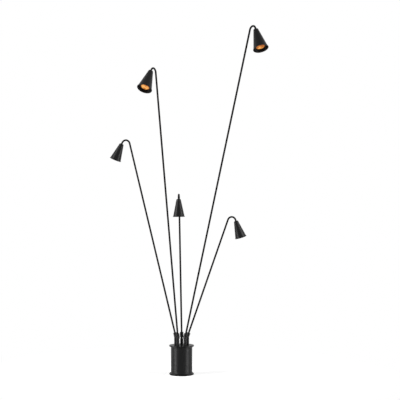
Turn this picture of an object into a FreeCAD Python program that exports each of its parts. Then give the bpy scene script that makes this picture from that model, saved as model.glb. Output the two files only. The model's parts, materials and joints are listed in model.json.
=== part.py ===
import FreeCAD, Part
import math
import os

os.makedirs("parts", exist_ok=True)

Vector = FreeCAD.Vector
Placement = FreeCAD.Placement
Rotation = FreeCAD.Rotation

# A floor lamp: five thin hooked stems, each with a conical shade, fan out of one weighted spool.
# Millimetres, Z up, the origin on the floor under the middle of the spool, the front towards -Y.

# The spool that stands on the floor
base_height = 147.0
body_radius = 53.5
flange_overhang = 8.5
flange_thickness = 4.0
flange_edge_round = 1.2
shell_wall = 2.5
shell_lip = 1.6
lip_inset = 0.6
foot_thickness = 2.0
foot_inset = 2.5
fit_clearance = 0.3
slip_clearance = 0.05
axial_play = 0.1
cut_overrun = 1.0
same_point = 0.0001

# What fills and holds the spool
ballast_chamfer = 2.0
lead_groove_width = 12.0
lead_groove_depth = 9.0
spigot_depth = 8.0
boss_radius = 10.0
boss_length = 17.0
tie_radius = 5.0
tie_engagement = 12.0
tie_head_radius = 8.5
tie_head_height = 1.4
retainer_inset = 6.0
retainer_thickness = 6.0
retainer_screw_radius = 1.5
retainer_screw_grip = 5.0
screw_head_radius = 2.8
screw_head_height = 1.8
terminal_length = 34.0
terminal_width = 17.0
terminal_height = 12.0
terminal_round = 1.5
terminal_well_radius = 2.2
terminal_well_depth = 3.0
terminal_inset = 14.5
terminal_headroom = 7.0
terminal_poles = 3
earth_inset = 21.0
earth_screw_length = 8.0
inlet_height = 26.0
inlet_bore_radius = 3.6
inlet_neck_radius = 5.5
inlet_flange_radius = 8.0
inlet_flange_thickness = 2.4
inlet_round = 1.0
inlet_depth = 3.0

# The five posts on the top flange and the knuckle on each of them
post_inset = 20.0
post_height = 29.0
post_radius = 8.0
shank_radius = 6.0
post_foot_radius = 9.5
post_foot_height = 3.0
shoulder_round = 2.2
neck_height = 13.5
tongue_thickness = 8.4
tongue_clearance = 0.1
lead_bore_radius = 1.7
clevis_radius = 9.0
clevis_web = 2.4
clevis_below_pivot = 7.0
cheek_round = 5.0
clevis_top_round = 1.6
slot_gap = 0.6
socket_depth = 8.0
pivot_screw_radius = 2.5
pivot_screw_depth = 1.9
pivot_head_radius = 3.9
pivot_head_thickness = 1.8
pivot_head_sink = 2.6

# The stems, thin tubes with a hook at the top
tube_radius = 4.5
tube_wall = 1.0
hook_radius = 21.5
hook_tail = 6.0
middle_hook_tail = 0.5
low_left_stem = 1002.0
tall_left_stem = 1312.0
middle_stem = 691.0
tall_right_stem = 1541.0
low_right_stem = 621.0

# The shades and what is inside them
shade_wall = 1.5
shade_shoulder_round = 4.5
shade_inner_round = 1.2
rim_bead = 1.5
rim_bead_height = 3.2
rim_round = 1.2
nut_sides = 6
nut_width = 14.0
nut_height = 5.0
washer_radius = 8.0
washer_thickness = 1.0
tube_into_holder = 5.0
holder_neck_radius = 7.5
holder_neck_height = 6.0
holder_round = 1.5
pin_radius = 1.1
pin_length = 6.0
baffle_thickness = 2.0
lens_rise = 1.4
bulb_lip = 3.0
bulb_cap_radius_share = 0.52
bulb_cap_height_share = 0.3

large_rim_gap = 12.2
large_top_radius = 11.0
large_recess = 11.0
large_holder_gap = 16.5
large_bulb_radius = 24.8
large_bulb_length = 50.0
large_holder_radius = 12.5
large_holder_height = 22.0
large_pin_spacing = 10.0

small_rim_gap = 12.8
small_top_radius = 10.5
small_recess = 9.0
small_holder_gap = 17.5
small_bulb_radius = 17.5
small_bulb_length = 37.0
small_holder_radius = 9.6
small_holder_height = 17.0
small_pin_spacing = 7.0

X_AXIS = Vector(1, 0, 0)
Y_AXIS = Vector(0, 1, 0)
Z_AXIS = Vector(0, 0, 1)
FULL_TURN = 360.0
HALF_TURN = 180.0

flange_radius = body_radius + flange_overhang
bore_radius = body_radius - shell_wall
plate_top = foot_thickness + flange_thickness
flange_under = base_height - flange_thickness
spigot_under = flange_under - spigot_depth
boss_under = spigot_under - boss_length
retainer_top = spigot_under
retainer_under = retainer_top - retainer_thickness
retainer_radius = bore_radius - retainer_inset
ballast_top = retainer_under - terminal_headroom - terminal_height
terminal_offset = bore_radius - terminal_inset - terminal_width / 2
earth_offset = bore_radius - earth_inset
post_ring_radius = bore_radius - post_inset
post_foot_top = spigot_under - axial_play
post_foot_under = post_foot_top - post_foot_height
shoulder_height = base_height + post_height
pivot_height = shoulder_height + neck_height
slot_top = post_radius + slot_gap
clevis_above_pivot = slot_top + clevis_web + socket_depth
nut_end = shade_wall + washer_thickness + nut_height


class Head:
    """The sizes of one shade with its bulb and lamp holder, measured down from the shade's top."""

    def __init__(self, rim_gap, top_radius, recess, holder_gap, bulb, holder):
        self.top_radius = top_radius
        self.bulb_radius, self.bulb_length = bulb
        self.holder_radius, self.holder_height, self.pin_spacing = holder
        self.rim_radius = self.bulb_radius + rim_gap
        self.holder_top = nut_end + holder_gap
        self.tube_end = self.holder_top + tube_into_holder
        self.bulb_back = self.holder_top + self.holder_height
        self.face = self.bulb_back + self.bulb_length
        self.length = self.face + recess
        self.slope = (self.rim_radius - rim_bead - top_radius) / self.length
        self.wall_across = shade_wall * math.sqrt(1 + self.slope ** 2)

    def outside(self, depth):
        return self.top_radius + self.slope * depth

    def inside(self, depth):
        return self.outside(depth) - self.wall_across


large_head = Head(large_rim_gap, large_top_radius, large_recess, large_holder_gap,
                  (large_bulb_radius, large_bulb_length),
                  (large_holder_radius, large_holder_height, large_pin_spacing))
small_head = Head(small_rim_gap, small_top_radius, small_recess, small_holder_gap,
                  (small_bulb_radius, small_bulb_length),
                  (small_holder_radius, small_holder_height, small_pin_spacing))


class Arm:
    """One stem: its post's bearing, the bearing and angle it leans to, and how its hook is turned."""

    def __init__(self, name, bearing, lean_bearing, lean, turn, stem, bend, tail, head):
        self.name = name
        self.bearing = bearing
        self.stem = stem
        self.bend = bend
        self.head = head
        angle = math.radians(bearing)
        self.foot = Vector(post_ring_radius * math.cos(angle), post_ring_radius * math.sin(angle), 0)
        facing = Rotation(Z_AXIS, lean_bearing)
        self.post_place = Placement(self.foot, facing)
        pivot = self.foot + Vector(0, 0, pivot_height)
        self.clevis_place = Placement(pivot, facing.multiply(Rotation(Y_AXIS, lean)))
        self.stem_place = self.clevis_place.multiply(Placement(Vector(), Rotation(Z_AXIS, turn)))
        rise = math.radians(bend)
        along = Vector(math.sin(rise), 0, math.cos(rise))
        hook_end = Vector(hook_radius * (1 - math.cos(rise)), 0, stem + hook_radius * math.sin(rise))
        self.shade_top = hook_end + along * tail
        self.hook_end = hook_end
        self.tube_end = self.shade_top + along * head.tube_end
        head_place = Placement(self.shade_top, Rotation(Y_AXIS, bend))
        self.head_place = self.stem_place.multiply(head_place)


arms = (
    Arm("low_left", 162.0, 162.0, 14.35, 0.0, low_left_stem, 142.0, hook_tail, small_head),
    Arm("tall_left", 234.0, 240.0, 9.0, 0.0, tall_left_stem, 139.0, hook_tail, large_head),
    Arm("middle", 90.0, 255.8, 4.1, 12.0, middle_stem, 176.0, middle_hook_tail, small_head),
    Arm("tall_right", 306.0, 318.0, 15.65, -12.0, tall_right_stem, 140.0, hook_tail, large_head),
    Arm("low_right", 18.0, 18.0, 20.25, 0.0, low_right_stem, 142.0, hook_tail, small_head),
)


def keep(node, shape):
    """Write one piece to its own file."""
    shape.exportStep("parts/" + node + ".step")


def outline(corners):
    """A closed wire in the XZ plane through (x, z, rounding radius) corners."""
    points = [Vector(x, 0, z) for x, z, _ in corners]
    stretches = []
    for index, (_, _, radius) in enumerate(corners):
        here = points[index]
        back = points[index - 1] - here
        ahead = points[(index + 1) % len(points)] - here
        if not radius:
            stretches.append((here, here, here))
            continue
        half = back.getAngle(ahead) / 2
        back.normalize()
        ahead.normalize()
        reach = radius / math.tan(half)
        middle = back + ahead
        middle.normalize()
        centre = here + middle * (radius / math.sin(half))
        stretches.append((here + back * reach, centre - middle * radius, here + ahead * reach))
    edges = []
    for index, (start, via, end) in enumerate(stretches):
        if not start.isEqual(end, same_point):
            edges.append(Part.Arc(start, via, end).toShape())
        following = stretches[(index + 1) % len(stretches)][0]
        if not end.isEqual(following, same_point):
            edges.append(Part.LineSegment(end, following).toShape())
    return Part.Wire(edges)


def turned(corners):
    """A solid of revolution about Z."""
    return Part.Face(outline(corners)).revolve(Vector(), Z_AXIS, FULL_TURN)


def pulled(corners, width):
    """A solid as wide as given along Y, on both sides of the XZ plane alike."""
    solid = Part.Face(outline(corners)).extrude(Vector(0, width, 0))
    solid.translate(Vector(0, -width / 2, 0))
    return solid


def rod(radius, low, high, x=0, y=0):
    """An upright cylinder between two heights."""
    return Part.makeCylinder(radius, high - low, Vector(x, y, low))


def cross_rod(radius, start, end):
    """A cylinder along Y."""
    return Part.makeCylinder(radius, end - start, Vector(0, start, 0), Y_AXIS)


def around(bearing, radius):
    """A point on a circle about the spool's middle."""
    angle = math.radians(bearing)
    return Vector(radius * math.cos(angle), radius * math.sin(angle), 0)


def placed(shape, place):
    """A copy of a piece at its place."""
    copy = shape.copy()
    copy.Placement = place
    return copy


post_bearings = [arm.bearing for arm in arms]
screw_bearings = [bearing + FULL_TURN / 2 / len(post_bearings) for bearing in post_bearings]


def base_shell():
    """The turned wall of the spool, with a coved lip at each end and a hole for the inlet bush."""
    tip = flange_radius - lip_inset
    cove = tip - body_radius
    shell = turned([
        (bore_radius, plate_top, 0),
        (tip, plate_top, 0),
        (tip, plate_top + shell_lip, 0),
        (body_radius, plate_top + shell_lip, cove),
        (body_radius, flange_under - shell_lip, cove),
        (tip, flange_under - shell_lip, 0),
        (tip, flange_under, 0),
        (bore_radius, flange_under, 0),
    ])
    hole = cross_rod(inlet_neck_radius + slip_clearance, 0, body_radius + cut_overrun)
    hole.translate(Vector(0, 0, inlet_height))
    return shell.cut(hole)


def bottom_plate():
    """The lower flange, with a recess from below for the tie bolt's head."""
    plate = turned([
        (0, foot_thickness, 0),
        (flange_radius, foot_thickness, flange_edge_round),
        (flange_radius, plate_top, flange_edge_round),
        (0, plate_top, 0),
    ])
    recess = rod(tie_head_radius + fit_clearance, foot_thickness, foot_thickness + tie_head_height)
    return plate.cut(recess).cut(rod(tie_radius + fit_clearance, 0, base_height))


def foot_pad():
    """The soft disc glued under the lower flange, which hides the tie bolt's head."""
    return rod(flange_radius - foot_inset, 0, foot_thickness)


def ballast():
    """The iron weight, bored for the tie bolt and grooved at the back for the mains lead."""
    radius = bore_radius - fit_clearance
    weight = turned([
        (tie_radius + fit_clearance, plate_top, 0),
        (radius - ballast_chamfer, plate_top, 0),
        (radius, plate_top + ballast_chamfer, 0),
        (radius, ballast_top - ballast_chamfer, 0),
        (radius - ballast_chamfer, ballast_top, 0),
        (tie_radius + fit_clearance, ballast_top, 0),
    ])
    groove = Part.makeBox(lead_groove_width, lead_groove_depth + cut_overrun, ballast_top - plate_top)
    groove.translate(Vector(-lead_groove_width / 2, radius - lead_groove_depth, plate_top))
    holes = [rod(retainer_screw_radius + slip_clearance, ballast_top - earth_screw_length,
                 ballast_top + cut_overrun, -earth_offset)]
    return weight.cut([groove] + holes)


def tie_bolt():
    """The bolt that pulls both flanges on to the shell."""
    low = foot_thickness
    high = boss_under + tie_engagement
    return turned([
        (0, low, 0),
        (tie_head_radius, low, 0),
        (tie_head_radius, low + tie_head_height, 0),
        (tie_radius, low + tie_head_height, 0),
        (tie_radius, high, 0),
        (0, high, 0),
    ])


def top_plate():
    """The upper flange with its spigot and boss, and the five holes that the posts turn in."""
    plate = turned([
        (0, boss_under, 0),
        (boss_radius, boss_under, 0),
        (boss_radius, spigot_under, 0),
        (bore_radius - fit_clearance, spigot_under, 0),
        (bore_radius - fit_clearance, flange_under, 0),
        (flange_radius, flange_under, flange_edge_round),
        (flange_radius, base_height, flange_edge_round),
        (0, base_height, 0),
    ])
    holes = [rod(tie_radius, boss_under, boss_under + tie_engagement)]
    thread_end = spigot_under + retainer_screw_grip
    for bearing in post_bearings:
        spot = around(bearing, post_ring_radius)
        holes.append(rod(shank_radius + slip_clearance, spigot_under, base_height, spot.x, spot.y))
    for bearing in screw_bearings:
        spot = around(bearing, post_ring_radius)
        holes.append(rod(retainer_screw_radius, spigot_under, thread_end, spot.x, spot.y))
    return plate.cut(holes)


def retainer_plate():
    """The disc under the upper flange that keeps the posts' feet in and lets their leads through."""
    disc = rod(retainer_radius, retainer_under, retainer_top)
    holes = [rod(boss_radius + fit_clearance, retainer_under, retainer_top)]
    pocket_floor = post_foot_under - axial_play
    screw_hole_radius = retainer_screw_radius + slip_clearance
    for bearing in post_bearings:
        spot = around(bearing, post_ring_radius)
        holes.append(rod(post_foot_radius + slip_clearance, pocket_floor, retainer_top, spot.x, spot.y))
        holes.append(rod(shank_radius, retainer_under, pocket_floor, spot.x, spot.y))
    for bearing in screw_bearings:
        spot = around(bearing, post_ring_radius)
        holes.append(rod(screw_hole_radius, retainer_under, retainer_top, spot.x, spot.y))
    return disc.cut(holes)


def screw(low, length):
    """A pan head screw that points up, its head below the height given."""
    return turned([
        (0, low - screw_head_height, 0),
        (screw_head_radius, low - screw_head_height, screw_head_height / 2),
        (screw_head_radius, low, 0),
        (retainer_screw_radius, low, 0),
        (retainer_screw_radius, low + length, 0),
        (0, low + length, 0),
    ])


def retainer_screws():
    """The five screws that hold the retainer up."""
    shape = screw(retainer_under, retainer_thickness + retainer_screw_grip)
    return Part.makeCompound([placed(shape, Placement(around(bearing, post_ring_radius), Rotation()))
                              for bearing in screw_bearings])


def terminal_block():
    """The moulded block on the weight where the five leads meet the mains."""
    block = Part.makeBox(terminal_length, terminal_width, terminal_height)
    block.translate(Vector(-terminal_length / 2, -terminal_offset - terminal_width / 2, ballast_top))
    upright = [edge for edge in block.Edges
               if edge.BoundBox.ZLength > edge.BoundBox.XLength + edge.BoundBox.YLength]
    block = block.makeFillet(terminal_round, upright)
    wells = []
    pitch = terminal_length / terminal_poles
    top = ballast_top + terminal_height
    for pole in range(terminal_poles):
        x = pitch * (2 * pole + 1 - terminal_poles) / 2
        wells.append(rod(terminal_well_radius, top - terminal_well_depth, top, x, -terminal_offset))
    return block.cut(wells)


def earth_screw():
    """The screw on the weight that every metal part's earth lead goes to."""
    shape = screw(0, earth_screw_length)
    return placed(shape, Placement(Vector(-earth_offset, 0, ballast_top), Rotation(X_AXIS, HALF_TURN)))


def inlet_bush():
    """The bush in the back of the shell that a mains lead comes in through."""
    seat = body_radius
    face = seat + inlet_flange_thickness
    bush = turned([
        (inlet_bore_radius, bore_radius - inlet_depth, 0),
        (inlet_neck_radius, bore_radius - inlet_depth, 0),
        (inlet_neck_radius, bore_radius, 0),
        (inlet_flange_radius, bore_radius, 0),
        (inlet_flange_radius, face, inlet_round),
        (inlet_bore_radius, face, inlet_round),
    ])
    bush.Placement = Placement(Vector(0, 0, inlet_height), Rotation(X_AXIS, -HALF_TURN / 2))
    wall = rod(seat, 0, base_height).cut(
        Part.makeCylinder(inlet_neck_radius, flange_radius, Vector(0, 0, inlet_height), Y_AXIS))
    return bush.cut(wall)


def post():
    """A post: a foot held by the retainer, a shank that turns in the flange, and a tongue on top."""
    body = turned([
        (0, post_foot_under, 0),
        (post_foot_radius, post_foot_under, 0),
        (post_foot_radius, post_foot_top, 0),
        (shank_radius, post_foot_top, 0),
        (shank_radius, base_height + axial_play, 0),
        (post_radius, base_height + axial_play, 0),
        (post_radius, shoulder_height, shoulder_round),
        (0, shoulder_height, 0),
    ])
    tongue = pulled([
        (-post_radius, shoulder_height - shoulder_round, 0),
        (post_radius, shoulder_height - shoulder_round, 0),
        (post_radius, pivot_height, 0),
        (-post_radius, pivot_height, 0),
    ], tongue_thickness)
    tip = cross_rod(post_radius, -tongue_thickness / 2, tongue_thickness / 2)
    tip.translate(Vector(0, 0, pivot_height))
    tongue = tongue.fuse(tip).common(rod(post_radius, post_foot_under, pivot_height + post_radius))
    floor = tongue_thickness / 2 - pivot_screw_depth - slip_clearance
    sockets = [cross_rod(pivot_screw_radius + slip_clearance, floor, tongue_thickness),
               cross_rod(pivot_screw_radius + slip_clearance, -tongue_thickness, -floor)]
    for socket in sockets:
        socket.translate(Vector(0, 0, pivot_height))
    lead = rod(lead_bore_radius, post_foot_under, pivot_height + post_radius)
    return body.fuse(tongue).cut(sockets + [lead]).removeSplitter()


def clevis():
    """The forked sleeve that carries a stem and closes over the post's tongue; its pivot is at 0."""
    sleeve = turned([
        (0, -clevis_below_pivot, 0),
        (clevis_radius, -clevis_below_pivot, 0),
        (clevis_radius, clevis_above_pivot, clevis_top_round),
        (0, clevis_above_pivot, 0),
    ])
    side = pulled([
        (-clevis_radius, -clevis_below_pivot, cheek_round),
        (clevis_radius, -clevis_below_pivot, cheek_round),
        (clevis_radius, clevis_above_pivot, 0),
        (-clevis_radius, clevis_above_pivot, 0),
    ], clevis_radius * 2)
    slot = pulled([
        (-clevis_radius, -clevis_below_pivot, 0),
        (clevis_radius, -clevis_below_pivot, 0),
        (clevis_radius, slot_top, 0),
        (-clevis_radius, slot_top, 0),
    ], tongue_thickness + tongue_clearance * 2)
    socket = rod(tube_radius + slip_clearance, clevis_above_pivot - socket_depth, clevis_above_pivot)
    lead = rod(lead_bore_radius * 2, 0, clevis_above_pivot)
    hole = cross_rod(pivot_screw_radius, -clevis_radius, clevis_radius)
    sinks = [cross_rod(pivot_head_radius + slip_clearance, clevis_radius - pivot_head_sink, clevis_radius),
             cross_rod(pivot_head_radius + slip_clearance, -clevis_radius, pivot_head_sink - clevis_radius)]
    return sleeve.common(side).cut([slot, socket, lead, hole] + sinks)


def pivot_screws():
    """Two stub screws, one through each cheek, that the knuckle tilts on with its middle left free."""
    seat = clevis_radius - pivot_head_sink
    stub = turned([
        (0, tongue_thickness / 2 - pivot_screw_depth, 0),
        (pivot_screw_radius, tongue_thickness / 2 - pivot_screw_depth, 0),
        (pivot_screw_radius, seat, 0),
        (pivot_head_radius, seat, 0),
        (pivot_head_radius, seat + pivot_head_thickness, 0),
        (0, seat + pivot_head_thickness, 0),
    ])
    quarter = HALF_TURN / 2
    return Part.makeCompound([placed(stub, Placement(Vector(), Rotation(X_AXIS, -quarter))),
                              placed(stub, Placement(Vector(), Rotation(X_AXIS, quarter)))])


def stem(arm):
    """The tube: straight up from its socket, round the hook and down through the shade's top."""
    start = Vector(0, 0, clevis_above_pivot - socket_depth)
    top = Vector(0, 0, arm.stem)
    half = math.radians(arm.bend) / 2
    crown = Vector(hook_radius * (1 - math.cos(half)), 0, arm.stem + hook_radius * math.sin(half))
    path = Part.Wire([Part.LineSegment(start, top).toShape(),
                      Part.Arc(top, crown, arm.hook_end).toShape(),
                      Part.LineSegment(arm.hook_end, arm.tube_end).toShape()])
    solids = []
    for radius in (tube_radius, tube_radius - tube_wall):
        ring = Part.Wire(Part.makeCircle(radius, start, Z_AXIS))
        solids.append(path.makePipeShell([ring], True, True))
    return solids[0].cut(solids[1])


def shade(head):
    """The spun cone: a rounded top with a hole for the tube, a straight side and a beaded rim."""
    rim_wall = head.inside(head.length)
    bead_top = head.length - rim_bead_height
    return turned([
        (tube_radius + slip_clearance, 0, 0),
        (head.outside(0), 0, shade_shoulder_round),
        (head.outside(bead_top), bead_top, 0),
        (head.rim_radius, bead_top + rim_bead, rim_round),
        (head.rim_radius, head.length, rim_round),
        (rim_wall, head.length, 0),
        (head.inside(shade_wall), shade_wall, shade_inner_round),
        (tube_radius + slip_clearance, shade_wall, 0),
    ])


def shade_nut():
    """The washer and nut on the tube's end that clamp the shade from inside."""
    corner = nut_width / 2 / math.cos(math.radians(HALF_TURN / nut_sides))
    points = [around(FULL_TURN / nut_sides * step, corner) for step in range(nut_sides + 1)]
    nut = Part.Face(Part.makePolygon(points)).extrude(Vector(0, 0, nut_height))
    nut.translate(Vector(0, 0, shade_wall + washer_thickness))
    washer = rod(washer_radius, shade_wall, shade_wall + washer_thickness)
    return nut.fuse(washer).cut(rod(tube_radius, 0, nut_end))


def lamp_holder(head):
    """The ceramic holder on the end of the tube, with the bulb's two pin holes."""
    body = turned([
        (0, head.holder_top, 0),
        (holder_neck_radius, head.holder_top, holder_round),
        (holder_neck_radius, head.holder_top + holder_neck_height, 0),
        (head.holder_radius, head.holder_top + holder_neck_height, holder_round),
        (head.holder_radius, head.bulb_back, 0),
        (0, head.bulb_back, 0),
    ])
    holes = [rod(tube_radius, head.holder_top, head.tube_end),
             rod(lead_bore_radius * 2, head.tube_end, head.tube_end + holder_neck_height)]
    for side in (-1, 1):
        holes.append(rod(pin_radius + slip_clearance, head.bulb_back - pin_length - slip_clearance,
                         head.bulb_back, side * head.pin_spacing / 2))
    return body.cut(holes)


def bulb(head):
    """The reflector bulb: a domed front glass, a bowl that narrows to its cap, and two pins."""
    cap_radius = head.bulb_radius * bulb_cap_radius_share
    cap_end = head.bulb_back + head.bulb_length * bulb_cap_height_share
    lip = head.face - bulb_lip
    shoulder = Vector(head.bulb_radius, 0, lip)
    throat = Vector(cap_radius, 0, cap_end)
    belly = (shoulder + throat) / 2 + Vector(bulb_lip, 0, -bulb_lip)
    edge = Vector(head.bulb_radius, 0, head.face)
    crown = Vector(0, 0, head.face + lens_rise)
    dome = (head.bulb_radius ** 2 + lens_rise ** 2) / (2 * lens_rise)
    spread = math.asin(head.bulb_radius / dome) / 2
    bow = Vector(dome * math.sin(spread), 0, crown.z - dome * (1 - math.cos(spread)))
    back = Vector(cap_radius, 0, head.bulb_back)
    middle = Vector(0, 0, head.bulb_back)
    wire = Part.Wire([
        Part.LineSegment(middle, back).toShape(),
        Part.LineSegment(back, throat).toShape(),
        Part.Arc(throat, belly, shoulder).toShape(),
        Part.LineSegment(shoulder, edge).toShape(),
        Part.Arc(edge, bow, crown).toShape(),
        Part.LineSegment(crown, middle).toShape(),
    ])
    body = Part.Face(wire).revolve(Vector(), Z_AXIS, FULL_TURN)
    pin_end = head.bulb_back - pin_length
    pin_root = head.bulb_back + pin_radius
    pins = [rod(pin_radius, pin_end, pin_root, side * head.pin_spacing / 2) for side in (-1, 1)]
    return body.fuse(pins)


def baffle_ring(head):
    """The dark ring between the bulb's front and the shade's side, wedged in the taper."""
    under = head.face
    over = under - baffle_thickness
    return turned([
        (head.bulb_radius + fit_clearance, over, 0),
        (head.inside(over) - slip_clearance, over, 0),
        (head.inside(under) - slip_clearance, under, 0),
        (head.bulb_radius + fit_clearance, under, 0),
    ])


keep("base_shell", base_shell())
keep("bottom_plate", bottom_plate())
keep("foot_pad", foot_pad())
keep("ballast", ballast())
keep("tie_bolt", tie_bolt())
keep("top_plate", top_plate())
keep("retainer_plate", retainer_plate())
keep("retainer_screws", retainer_screws())
keep("terminal_block", terminal_block())
keep("earth_screw", earth_screw())
keep("inlet_bush", inlet_bush())

for arm in arms:
    head = arm.head
    keep("post_" + arm.name, placed(post(), arm.post_place))
    keep("clevis_" + arm.name, placed(clevis(), arm.clevis_place))
    keep("pivot_screws_" + arm.name, placed(pivot_screws(), arm.clevis_place))
    keep("stem_" + arm.name, placed(stem(arm), arm.stem_place))
    keep("shade_" + arm.name, placed(shade(head), arm.head_place))
    keep("shade_nut_" + arm.name, placed(shade_nut(), arm.head_place))
    keep("lamp_holder_" + arm.name, placed(lamp_holder(head), arm.head_place))
    keep("bulb_" + arm.name, placed(bulb(head), arm.head_place))
    keep("baffle_ring_" + arm.name, placed(baffle_ring(head), arm.head_place))
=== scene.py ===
import json
import math

import bmesh
import bpy
from mathutils import Matrix, Vector

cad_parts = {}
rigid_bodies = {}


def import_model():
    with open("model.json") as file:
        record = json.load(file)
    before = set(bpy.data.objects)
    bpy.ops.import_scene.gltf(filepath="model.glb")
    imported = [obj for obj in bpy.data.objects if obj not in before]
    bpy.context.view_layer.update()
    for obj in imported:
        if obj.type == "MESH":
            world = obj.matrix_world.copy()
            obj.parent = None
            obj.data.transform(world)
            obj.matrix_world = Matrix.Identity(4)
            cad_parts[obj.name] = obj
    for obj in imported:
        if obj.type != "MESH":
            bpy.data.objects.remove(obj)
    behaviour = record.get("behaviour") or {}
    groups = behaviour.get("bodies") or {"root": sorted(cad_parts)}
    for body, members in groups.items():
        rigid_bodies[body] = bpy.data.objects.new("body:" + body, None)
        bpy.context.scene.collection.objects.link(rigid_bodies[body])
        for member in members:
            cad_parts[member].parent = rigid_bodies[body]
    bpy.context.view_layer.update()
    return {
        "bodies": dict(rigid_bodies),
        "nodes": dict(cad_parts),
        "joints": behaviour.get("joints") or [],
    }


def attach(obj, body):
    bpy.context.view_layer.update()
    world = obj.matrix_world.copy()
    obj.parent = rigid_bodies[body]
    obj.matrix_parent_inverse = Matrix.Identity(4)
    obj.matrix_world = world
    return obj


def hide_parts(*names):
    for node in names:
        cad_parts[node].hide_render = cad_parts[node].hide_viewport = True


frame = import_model()
nodes = frame["nodes"]
arm_names = [body[len("arm_"):] for body in frame["bodies"] if body.startswith("arm_")]


# The spool, the posts, the knuckles, the stems and the shades.
# They are steel, turned, bent or spun, and powder coated satin black after they are made.
# The coat has the fine orange peel that powder leaves, and on the thin stems it is nearly dull.
coat_deep = (0.0022, 0.0022, 0.0025, 1)
coat_pale = (0.0040, 0.0039, 0.0041, 1)
satin_gloss = 0.14
dull_gloss = 0.04
peel_depth = 0.0001


class Value:
    """A number or colour that varies over a finish. It wraps a socket, and sums on it add Math nodes."""

    def __init__(self, tree, socket):
        self.tree = tree
        self.socket = socket

    @classmethod
    def node(cls, tree, kind, settings=(), inputs=(), output=0):
        """Adds a node, with its settings first and then the values or links of its sockets."""
        added = tree.nodes.new(kind)
        for name, setting in dict(settings).items():
            if name == "stops":
                ramp = added.color_ramp
                for stop, (position, colour) in enumerate(setting):
                    element = ramp.elements[stop] if stop < 2 else ramp.elements.new(position)
                    element.position = position
                    element.color = colour
            else:
                setattr(added, name, setting)
        for name, value in dict(inputs).items():
            if isinstance(value, Value):
                tree.links.new(value.socket, added.inputs[name])
            else:
                added.inputs[name].default_value = value
        return cls(tree, added.outputs[output]) if added.outputs else None

    def maths(self, operation, first, second):
        return Value.node(self.tree, "ShaderNodeMath", {"operation": operation}, {0: first, 1: second})

    def __add__(self, other):
        return self.maths("ADD", self, other)

    __radd__ = __add__

    def __sub__(self, other):
        return self.maths("SUBTRACT", self, other)

    def __rsub__(self, other):
        return self.maths("SUBTRACT", other, self)

    def __mul__(self, other):
        return self.maths("MULTIPLY", self, other)

    __rmul__ = __mul__


def new_finish(name):
    """An empty material, with its tree and the place of a point on the piece."""
    finish = bpy.data.materials.new(name)
    finish.use_nodes = True
    tree = finish.node_tree
    tree.nodes.clear()
    place = Value.node(tree, "ShaderNodeTexCoord", output="Object")
    return finish, tree, place


def noise(tree, place, scale, detail=2.0):
    """Soft spots, with their scale in spots to the metre."""
    return Value.node(tree, "ShaderNodeTexNoise",
                      inputs={"Vector": place, "Scale": scale, "Detail": detail})


def blend(tree, share, first, second):
    """A colour between two others."""
    return Value.node(tree, "ShaderNodeMix", {"data_type": "RGBA"},
                      {"Factor": share, 6: first, 7: second}, output=2)


def bumps(tree, height, strength, depth):
    """A normal that follows a height, with the depth in metres."""
    return Value.node(tree, "ShaderNodeBump",
                      inputs={"Height": height, "Strength": strength, "Distance": depth})


def lay_on(tree, inputs):
    """Ends a finish with its surface."""
    surface = Value.node(tree, "ShaderNodeBsdfPrincipled", inputs=inputs)
    Value.node(tree, "ShaderNodeOutputMaterial", inputs={"Surface": surface})


def powder_coat(name, gloss):
    finish, tree, place = new_finish(name)
    drift = noise(tree, place, 18.0, 3.0)
    peel = noise(tree, place, 1500.0)
    lay_on(tree, {
        "Base Color": blend(tree, drift, coat_deep, coat_pale),
        "Roughness": drift * 0.08 + 0.34,
        "Specular IOR Level": gloss,
        "Normal": bumps(tree, peel, 0.06, peel_depth),
    })
    return finish


def dress(node, finish):
    """Gives a solid of the frame its finish."""
    for slot in nodes[node].material_slots:
        slot.material = finish


satin_coat = powder_coat("black_powder_coat", satin_gloss)
dull_coat = powder_coat("dull_black_powder_coat", dull_gloss)
for node in ("base_shell", "bottom_plate", "top_plate"):
    dress(node, satin_coat)
for name in arm_names:
    dress("stem_" + name, dull_coat)
    for kind in ("post_", "clevis_", "shade_", "baffle_ring_"):
        dress(kind + name, satin_coat)


# The foot pad, a disc of dense black felt glued under the spool.
# Only its edge shows, as a thin soft line between the lower flange and the floor.
felt_deep = (0.006, 0.006, 0.007, 1)
felt_pale = (0.022, 0.021, 0.022, 1)
fibre_depth = 0.0004


def felt():
    finish, tree, place = new_finish("black_felt")
    fibres = noise(tree, place, 2200.0, 4.0)
    tufts = noise(tree, place, 260.0)
    lay_on(tree, {
        "Base Color": blend(tree, fibres, felt_deep, felt_pale),
        "Roughness": 0.94,
        "Specular IOR Level": 0.2,
        "Normal": bumps(tree, fibres + tufts, 0.5, fibre_depth),
    })
    return finish


dress("foot_pad", felt())


# The inlet bush at the back of the spool, moulded in black plastic with a fine spark texture.
# It is pressed into the shell and keeps the sheet's edge off whatever comes in there.
bush_deep = (0.014, 0.014, 0.015, 1)
bush_pale = (0.022, 0.022, 0.023, 1)
spark_depth = 0.00008


def moulded_black():
    finish, tree, place = new_finish("moulded_black_plastic")
    spark = noise(tree, place, 3200.0)
    lay_on(tree, {
        "Base Color": blend(tree, spark, bush_deep, bush_pale),
        "Roughness": spark * 0.12 + 0.44,
        "Normal": bumps(tree, spark, 0.2, spark_depth),
    })
    return finish


dress("inlet_bush", moulded_black())


# The iron weight inside the spool, sand cast and left as it came from the mould.
# It stands on the lower flange and carries the terminal block.
iron_dark = (0.055, 0.052, 0.050, 1)
iron_rusty = (0.115, 0.100, 0.088, 1)
sand_depth = 0.0006


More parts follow.
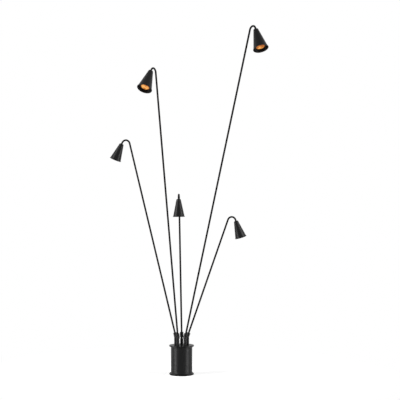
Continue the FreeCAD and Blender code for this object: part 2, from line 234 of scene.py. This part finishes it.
def cast_iron():
    finish, tree, place = new_finish("sand_cast_iron")
    sand = noise(tree, place, 620.0, 5.0)
    stain = noise(tree, place, 34.0, 4.0)
    lay_on(tree, {
        "Base Color": blend(tree, stain, iron_dark, iron_rusty),
        "Metallic": 0.6,
        "Roughness": sand * 0.25 + 0.55,
        "Normal": bumps(tree, sand, 0.7, sand_depth),
    })
    return finish


dress("ballast", cast_iron())


# The tie bolt, the retainer with its screws, and the nuts in the shades: zinc plated steel.
# The plating is bright with a faint cloudiness, and it is seen only where the lamp is taken apart.
zinc_blue = (0.50, 0.51, 0.53, 1)
zinc_pale = (0.64, 0.64, 0.63, 1)
plating_depth = 0.0001


def zinc_plate():
    finish, tree, place = new_finish("zinc_plated_steel")
    cloud = noise(tree, place, 95.0, 4.0)
    lay_on(tree, {
        "Base Color": blend(tree, cloud, zinc_blue, zinc_pale),
        "Metallic": 1.0,
        "Roughness": cloud * 0.18 + 0.24,
        "Normal": bumps(tree, noise(tree, place, 900.0), 0.06, plating_depth),
    })
    return finish


plating = zinc_plate()
for node in ("tie_bolt", "retainer_plate", "retainer_screws"):
    dress(node, plating)
for name in arm_names:
    dress("shade_nut_" + name, plating)


# The terminal block on the weight, moulded in ivory plastic, and the brass earth screw beside it.
# The block is plain and a little mottled. The screw is turned, and has dulled in places.
ivory_dark = (0.58, 0.53, 0.42, 1)
ivory_pale = (0.66, 0.61, 0.50, 1)
brass_dull = (0.58, 0.38, 0.13, 1)
brass_bright = (0.80, 0.60, 0.27, 1)
mould_depth = 0.0001
turning_depth = 0.0001


def moulded_ivory():
    finish, tree, place = new_finish("moulded_ivory_plastic")
    mottle = noise(tree, place, 140.0, 3.0)
    lay_on(tree, {
        "Base Color": blend(tree, mottle, ivory_dark, ivory_pale),
        "Roughness": mottle * 0.1 + 0.42,
        "Normal": bumps(tree, noise(tree, place, 2400.0), 0.08, mould_depth),
    })
    return finish


def turned_brass():
    finish, tree, place = new_finish("turned_brass")
    tarnish = noise(tree, place, 210.0, 4.0)
    lay_on(tree, {
        "Base Color": blend(tree, tarnish, brass_dull, brass_bright),
        "Metallic": 1.0,
        "Roughness": tarnish * 0.2 + 0.22,
        "Normal": bumps(tree, noise(tree, place, 1400.0), 0.08, turning_depth),
    })
    return finish


dress("terminal_block", moulded_ivory())
dress("earth_screw", turned_brass())


# The lamp holders, fired white ceramic on the ends of the stems, out of sight behind the bulbs.
# They are pressed and fired without a glaze, so they are matt, with fine specks.
ceramic_dark = (0.70, 0.68, 0.63, 1)
ceramic_pale = (0.78, 0.76, 0.72, 1)
speck_depth = 0.0002


def fired_ceramic():
    finish, tree, place = new_finish("fired_white_ceramic")
    speck = noise(tree, place, 480.0, 3.0)
    lay_on(tree, {
        "Base Color": blend(tree, speck, ceramic_dark, ceramic_pale),
        "Roughness": speck * 0.15 + 0.55,
        "Normal": bumps(tree, speck, 0.15, speck_depth),
    })
    return finish


ceramic = fired_ceramic()
for name in arm_names:
    dress("lamp_holder_" + name, ceramic)


# The pivot screws, two button heads to each knuckle, sunk in the cheeks and blackened.
# Each is turned, with a rounded edge and a six-sided socket for the key that sets its grip.
screw_radius = 0.0039
screw_seat = 0.0064
screw_top = 0.0082
screw_round = 0.0005
shank_radius = 0.0025
shank_start = 0.0023
key_across = 0.0030
key_depth = 0.0010
key_side = math.pi / 3
screw_steps = 48
round_steps = 5
doubles_gap = 1e-6
sharp_angle = math.radians(32)
oxide_deep = (0.012, 0.012, 0.013, 1)
oxide_pale = (0.028, 0.027, 0.027, 1)
oxide_depth = 0.00006


def blackened_steel():
    finish, tree, place = new_finish("blackened_steel")
    oxide = noise(tree, place, 700.0, 3.0)
    lay_on(tree, {
        "Base Color": blend(tree, oxide, oxide_deep, oxide_pale),
        "Metallic": 0.55,
        "Roughness": oxide * 0.15 + 0.30,
        "Normal": bumps(tree, oxide, 0.08, oxide_depth),
    })
    return finish


def turned_screw():
    """One screw about Z, from its stub in the tongue to the socket in its head."""
    quarter = [math.pi / 2 * step / round_steps for step in range(round_steps + 1)]
    shank = [(0, shank_start), (shank_radius, shank_start), (shank_radius, screw_seat),
             (screw_radius, screw_seat)]
    edge = [(screw_radius - screw_round + screw_round * math.cos(turn),
             screw_top - screw_round + screw_round * math.sin(turn)) for turn in quarter]
    socket = [(key_across / 2, screw_top), (key_across / 2, screw_top - key_depth),
              (0, screw_top - key_depth)]
    screw = bmesh.new()
    points = [screw.verts.new((radius, 0, height)) for radius, height in shank + edge + socket]
    lines = [screw.edges.new(pair) for pair in zip(points, points[1:])]
    bmesh.ops.spin(screw, geom=points + lines, cent=(0, 0, 0), axis=(0, 0, 1), angle=2 * math.pi,
                   steps=screw_steps, use_merge=True)
    bmesh.ops.remove_doubles(screw, verts=screw.verts, dist=doubles_gap)
    for vert in screw.verts:
        across = math.hypot(vert.co.x, vert.co.y)
        if abs(across - key_across / 2) < screw_round / 10:
            turn = (math.atan2(vert.co.y, vert.co.x) + key_side / 2) % key_side - key_side / 2
            vert.co.x /= math.cos(turn)
            vert.co.y /= math.cos(turn)
    bmesh.ops.recalc_face_normals(screw, faces=screw.faces)
    return screw


def add_piece(mesh, name, finish, body):
    """Makes a piece of a finished mesh, smooth but for its sharp edges, and sets it on its body."""
    data = bpy.data.meshes.new(name)
    mesh.to_mesh(data)
    mesh.free()
    data.materials.append(finish)
    data.shade_smooth()
    data.set_sharp_from_angle(angle=sharp_angle)
    piece = bpy.data.objects.new(name, data)
    bpy.context.scene.collection.objects.link(piece)
    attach(piece, body)
    return piece


joints = {joint["name"]: joint for joint in frame["joints"]}
blackened = blackened_steel()
for name in arm_names:
    pivot = Vector(joints[name + "_tilt"]["pos_m"])
    axle = Vector(joints[name + "_tilt"]["axis"])
    for side, way in (("near", axle), ("far", -axle)):
        screw = turned_screw()
        place = Matrix.Translation(pivot) @ way.to_track_quat("Z", "Y").to_matrix().to_4x4()
        bmesh.ops.transform(screw, matrix=place, verts=screw.verts)
        piece = add_piece(screw, "pivot_screw_" + side + "_" + name, blackened,
                          "arm_" + name)
        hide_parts("pivot_screws_" + name)


# The reflector bulbs, of pressed glass: a dimpled front lens, a silvered bowl and a ceramic cap.
# They push into the holders on two pins. They are lit, and glow amber through the lens,
# unevenly, as the filament and the bowl's facets throw it, with a dark seam round the glass.
lens_edge = 0.0003
cap_share = 0.30
dimple_depth = 0.0005
lens_black = (0.02, 0.01, 0.004, 1)
cap_pale = (0.72, 0.69, 0.62, 1)
bowl_silver = (0.80, 0.80, 0.81, 1)
dimple_shade = (0.80, 0.74, 0.62, 1)
no_light = (0, 0, 0, 1)
full_light = (1, 1, 1, 1)
patch_colours = [(0.34, (0.40, 0.110, 0.010, 1)), (0.50, (0.79, 0.27, 0.046, 1)),
                 (0.62, (0.97, 0.50, 0.140, 1))]
seam_colours = [(0.0, full_light), (0.62, (0.94, 0.92, 0.88, 1)), (0.77, (0.60, 0.48, 0.38, 1)),
                (0.83, (0.012, 0.010, 0.009, 1))]


def skin_middle(node):
    """The area-weighted middle of a solid's skin, which lies on the axis of a turned one."""
    faces = nodes[node].data.polygons
    weighed = sum((face.center * face.area for face in faces), Vector())
    return weighed / sum(face.area for face in faces)


def furthest(node, start, axis):
    """How far a solid reaches along an axis from its start."""
    return max((vert.co - start).dot(axis) for vert in nodes[node].data.vertices)


def vector_maths(tree, operation, inputs, output=0):
    return Value.node(tree, "ShaderNodeVectorMath", {"operation": operation}, inputs, output)


def filtered(tree, first, second):
    """A light of one colour behind a filter of another."""
    return Value.node(tree, "ShaderNodeMix", {"data_type": "RGBA", "blend_type": "MULTIPLY"},
                      {"Factor": 1.0, 6: first, 7: second}, output=2)


def reflector_bulb(name):
    """The finish of one bulb, laid out along its axis from the middle of its front."""
    start = skin_middle("shade_nut_" + name)
    axis = (skin_middle("baffle_ring_" + name) - start).normalized()
    reach = furthest("baffle_ring_" + name, start, axis)
    length = reach - furthest("lamp_holder_" + name, start, axis)
    front = start + axis * reach
    offsets = [vert.co - front for vert in nodes["bulb_" + name].data.vertices]
    radius = max((offset - axis * offset.dot(axis)).length for offset in offsets)
    finish, tree, place = new_finish("reflector_bulb_" + name)
    offset = vector_maths(tree, "SUBTRACT", {0: place, 1: front})
    depth = vector_maths(tree, "DOT_PRODUCT", {0: offset, 1: axis}, "Value")
    share = vector_maths(tree, "LENGTH", {0: offset}, "Value") * (1 / radius)
    lens = depth.maths("GREATER_THAN", depth, -lens_edge)
    cap = depth.maths("LESS_THAN", depth, -length * (1 - cap_share))
    bowl = (1 - lens) * (1 - cap)
    dimples = Value.node(tree, "ShaderNodeTexVoronoi", inputs={"Vector": place, "Scale": 420.0},
                         output="Distance")
    uneven = noise(tree, place, 43.0, 1.0) + (noise(tree, place, 150.0, 1.0) - 0.5) * 0.8
    patches = Value.node(tree, "ShaderNodeValToRGB", {"stops": patch_colours}, {"Fac": uneven})
    seam = Value.node(tree, "ShaderNodeValToRGB", {"stops": seam_colours}, {"Fac": share})
    facets = blend(tree, dimples * 90.0, dimple_shade, full_light)
    glow = filtered(tree, filtered(tree, patches, seam), facets)
    lay_on(tree, {
        "Base Color": blend(tree, lens, blend(tree, bowl, cap_pale, bowl_silver), lens_black),
        "Metallic": bowl,
        "Specular IOR Level": 0.06,
        "Roughness": lens * -0.30 + 0.45 + bowl * -0.25,
        "Emission Color": blend(tree, lens, no_light, glow),
        "Emission Strength": 1.0,
        "Normal": bumps(tree, dimples * lens, 0.35, dimple_depth),
    })
    return finish


for name in arm_names:
    dress("bulb_" + name, reflector_bulb(name))


# The studio: a plain pale floor that runs out of sight into a white surround.
# The floor keeps the lamp's faint shadow near it, and is plain white farther out. In the lamp's
# own gloss it is satin, so the soft boxes show in it and put two bands on the spool.
floor_half = 40.0
floor_drop = 0.0003
floor_grey = (0.80, 0.80, 0.80, 1)
floor_lift = 0.60
shadow_kept = 0.15
shadow_gone = 1.1
satin_share = 0.7
satin_roughness = 0.28
plain_white = (1, 1, 1, 1)
surround_grey = (0.08, 0.08, 0.08, 1)
box_distance = 3.2
box_middle = 1.55
box_height = 3.0


def ray(tree, kind):
    """One for the rays of a kind and zero for all others."""
    return Value.node(tree, "ShaderNodeLightPath", output=kind)


def shader_mix(tree, share, first, second):
    return Value.node(tree, "ShaderNodeMixShader", inputs={0: share, 1: first, 2: second})


def pale_floor():
    finish, tree, place = new_finish("pale_floor")
    matt = Value.node(tree, "ShaderNodeBsdfDiffuse", inputs={"Color": floor_grey})
    lift = Value.node(tree, "ShaderNodeEmission", inputs={"Color": plain_white, "Strength": floor_lift})
    white = Value.node(tree, "ShaderNodeEmission", inputs={"Color": plain_white, "Strength": 1.0})
    lifted = Value.node(tree, "ShaderNodeAddShader", inputs={0: matt, 1: lift})
    away = Value.node(tree, "ShaderNodeMapRange", {"interpolation_type": "SMOOTHSTEP"},
                      {"Value": vector_maths(tree, "LENGTH", {0: place}, "Value"),
                       "From Min": shadow_kept, "From Max": shadow_gone})
    satin = Value.node(tree, "ShaderNodeBsdfAnisotropic",
                       inputs={"Color": plain_white, "Roughness": satin_roughness})
    mirrored = ray(tree, "Is Glossy Ray")
    shown = shader_mix(tree, mirrored * satin_share, shader_mix(tree, away, lifted, white), satin)
    watched = ray(tree, "Is Camera Ray") + ray(tree, "Is Transmission Ray") + mirrored
    ground = shader_mix(tree, watched, matt, shown)
    Value.node(tree, "ShaderNodeOutputMaterial", inputs={"Surface": ground})
    return finish


def white_surround():
    world = bpy.data.worlds.new("white_surround")
    world.use_nodes = True
    tree = world.node_tree
    tree.nodes.clear()
    watched = ray(tree, "Is Camera Ray") + ray(tree, "Is Transmission Ray") + ray(tree, "Is Glossy Ray")
    plain = Value.node(tree, "ShaderNodeBackground", inputs={"Color": surround_grey, "Strength": 1.0})
    bright = Value.node(tree, "ShaderNodeBackground", inputs={"Color": plain_white, "Strength": 1.0})
    Value.node(tree, "ShaderNodeOutputWorld", inputs={"Surface": shader_mix(tree, watched, plain, bright)})
    return world


def soft_box(name, bearing, width, watts):
    """A tall soft light that faces the lamp, at a bearing round from the front."""
    turn = math.radians(bearing)
    light = bpy.data.lights.new(name, "AREA")
    light.shape = "RECTANGLE"
    light.size = width
    light.size_y = box_height
    light.energy = watts
    lamp = bpy.data.objects.new(name, light)
    lamp.location = (box_distance * math.sin(turn), -box_distance * math.cos(turn), box_middle)
    lamp.rotation_euler = (math.pi / 2, 0, turn)
    bpy.context.scene.collection.objects.link(lamp)


sheet = bmesh.new()
bmesh.ops.create_grid(sheet, x_segments=1, y_segments=1, size=floor_half)
bmesh.ops.translate(sheet, verts=sheet.verts, vec=(0, 0, -floor_drop))
floor_mesh = bpy.data.meshes.new("floor")
sheet.to_mesh(floor_mesh)
sheet.free()
floor_mesh.materials.append(pale_floor())
floor = bpy.data.objects.new("floor", floor_mesh)
bpy.context.scene.collection.objects.link(floor)
bpy.context.scene.world = white_surround()
soft_box("left_soft_box", -68.0, 1.3, 158.0)
soft_box("right_soft_box", 67.0, 1.6, 140.0)


# The camera stands level in front, far back with a long lens, as the photograph was taken.
# It is a little right of the spool's middle and at about half the lamp's height.
film_width = 36.0
focal_length = 94.5
camera_place = (0.092, -5.25, 0.872)
camera_data = bpy.data.cameras.new("front_camera")
camera_data.sensor_width = film_width
camera_data.lens = focal_length
camera = bpy.data.objects.new("front_camera", camera_data)
camera.location = camera_place
camera.rotation_euler = (math.pi / 2, 0, 0)
bpy.context.scene.collection.objects.link(camera)
bpy.context.scene.camera = camera
bpy.context.scene.view_settings.view_transform = "Standard"
